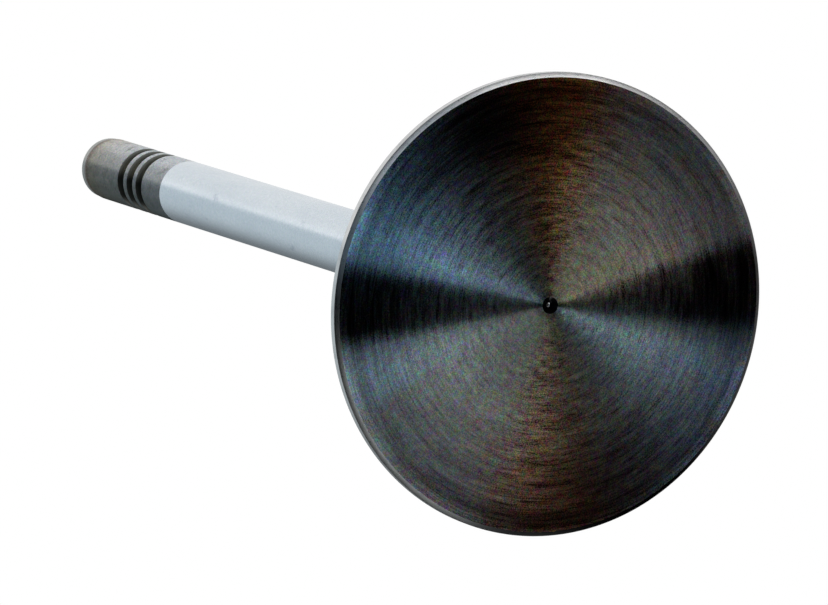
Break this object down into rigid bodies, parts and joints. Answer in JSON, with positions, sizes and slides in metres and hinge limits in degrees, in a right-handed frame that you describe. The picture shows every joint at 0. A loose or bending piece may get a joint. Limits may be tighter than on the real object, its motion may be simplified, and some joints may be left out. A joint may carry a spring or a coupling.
{
  "type": "engine valve",
  "caption": "Poppet valve for a piston engine: flat round head with a seat cone, neck blended into a long round stem, keeper grooves near the tip.",
  "frame": {"origin": "centre of the head's flat face, which the valve stands on", "axes": "+Z along the valve's axis, from the face up the stem to the tip"},
  "size_m": [0.054, 0.054, 0.1378],
  "materials": {
    "valve_steel": "turned face and margin, plated satin stem, ground tip"
  },
  "bodies": {
    "root": {"valve": "valve_steel"}
  },
  "joints": []
}
